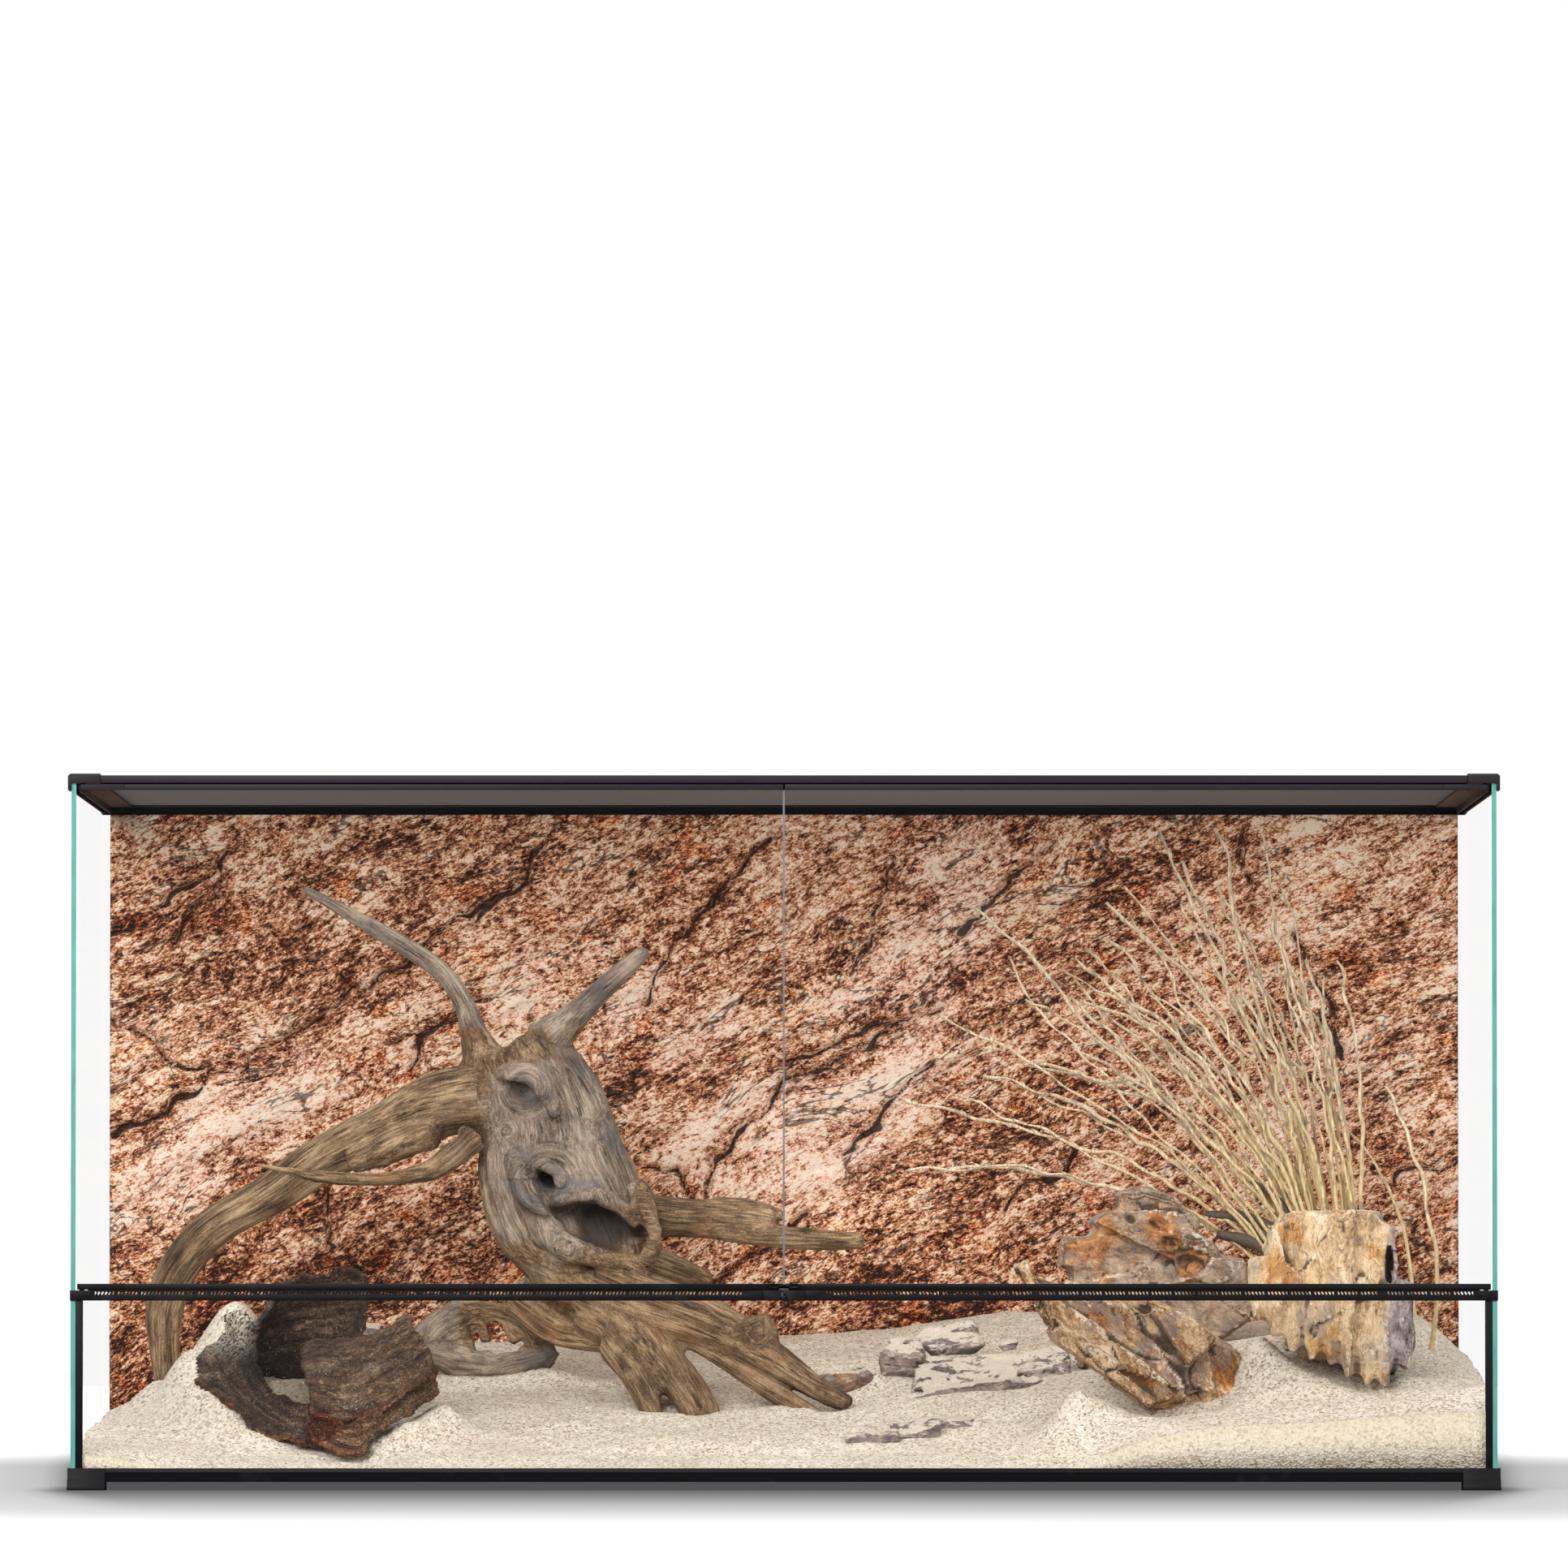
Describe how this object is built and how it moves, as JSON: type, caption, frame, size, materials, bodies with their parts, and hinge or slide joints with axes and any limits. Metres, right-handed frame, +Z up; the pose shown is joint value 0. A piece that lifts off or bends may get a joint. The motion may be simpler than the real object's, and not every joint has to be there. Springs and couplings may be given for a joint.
{
  "type": "reptile terrarium",
  "caption": "Front-opening glass terrarium with hinged doors, slotted vent strip, lock, lift-out mesh lid and a desert landscape of sand, driftwood, bark, rocks and dry grass.",
  "frame": {"origin": "centre of the footprint, on the surface that the feet stand on", "axes": "+X along the length to the right seen from the front, +Y to the back, +Z up"},
  "size_m": [1.2, 0.6, 0.6],
  "materials": {
    "clear_glass": "clear float glass with blue-green edges",
    "black_plastic": "satin black moulded plastic",
    "black_silicone": "silicone sealant",
    "clear_seal": "translucent soft strip",
    "wire_mesh": "black coated woven wire",
    "bright_metal": "satin plated metal",
    "rock_relief": "matt moulded and coloured rock relief",
    "desert_sand": "loose dry sand",
    "driftwood": "weathered bare wood",
    "bark": "rough dark bark",
    "knotty_wood": "weathered knotty wood",
    "ochre_rock": "layered rough rock",
    "grey_rock": "rough rock",
    "tan_rock": "ribbed rough rock",
    "pale_stone": "weathered slate",
    "straw": "dry grass stems"
  },
  "bodies": {
    "enclosure": {"base_rail_front": "black_plastic", "base_rail_rear": "black_plastic", "base_rail_left": "black_plastic", "base_rail_right": "black_plastic", "corner_foot_front_left": "black_plastic", "corner_foot_front_right": "black_plastic", "corner_foot_rear_left": "black_plastic", "corner_foot_rear_right": "black_plastic", "floor_glass": "clear_glass", "side_glass_left": "clear_glass", "side_glass_right": "clear_glass", "rear_glass": "clear_glass", "front_window_glass": "clear_glass", "corner_post_left": "black_plastic", "corner_post_right": "black_plastic", "silicone_joints": "black_silicone", "vent_grille_left": "black_plastic", "vent_grille_right": "black_plastic", "vent_end_cap_left": "black_plastic", "vent_end_cap_right": "black_plastic", "latch_housing": "black_plastic", "top_rail_front": "black_plastic", "top_rail_rear": "black_plastic", "top_rail_left": "black_plastic", "top_rail_right": "black_plastic", "top_corner_front_left": "black_plastic", "top_corner_front_right": "black_plastic", "top_corner_rear_left": "black_plastic", "top_corner_rear_right": "black_plastic", "rock_background": "rock_relief", "sand_bed": "desert_sand", "driftwood_root": "driftwood", "cork_bark": "bark", "knotty_wood": "knotty_wood", "leaning_slab_rock": "ochre_rock", "rear_boulder": "grey_rock", "pillar_rock": "tan_rock", "loose_stones": "pale_stone", "dry_grass": "straw"},
    "left_door": {"door_glass_left": "clear_glass", "door_top_rail_left": "black_plastic", "door_bottom_rail_left": "black_plastic", "door_pull_left": "black_plastic", "door_hinge_top_left": "black_plastic", "door_hinge_bottom_left": "black_plastic", "door_edge_seal": "clear_seal"},
    "right_door": {"door_glass_right": "clear_glass", "door_top_rail_right": "black_plastic", "door_bottom_rail_right": "black_plastic", "door_pull_right": "black_plastic", "door_hinge_top_right": "black_plastic", "door_hinge_bottom_right": "black_plastic"},
    "screen_lid": {"screen_frame": "black_plastic", "screen_mesh": "wire_mesh"},
    "lock_cylinder": {"lock_cylinder": "bright_metal"},
    "latch_bolt": {"latch_bolt": "bright_metal"}
  },
  "joints": [
    {"name": "left_door_hinge", "type": "hinge", "parent": "enclosure", "child": "left_door", "pos_m": [-0.5878, -0.293, 0.38], "axis": [0, 0, -1], "range_deg": [0, 100]},
    {"name": "right_door_hinge", "type": "hinge", "parent": "enclosure", "child": "right_door", "pos_m": [0.5878, -0.293, 0.38], "axis": [0, 0, 1], "range_deg": [0, 100]},
    {"name": "lid_lift", "type": "slide", "parent": "enclosure", "child": "screen_lid", "axis": [0, 0, 1], "range_m": [0, 0.08]},
    {"name": "lock_turn", "type": "hinge", "parent": "enclosure", "child": "lock_cylinder", "pos_m": [0, -0.296, 0.1632], "axis": [0, 1, 0], "range_deg": [0, 90]},
    {"name": "bolt_slide", "type": "slide", "parent": "enclosure", "child": "latch_bolt", "axis": [0, 0, 1], "range_m": [0, 0.003]}
  ]
}
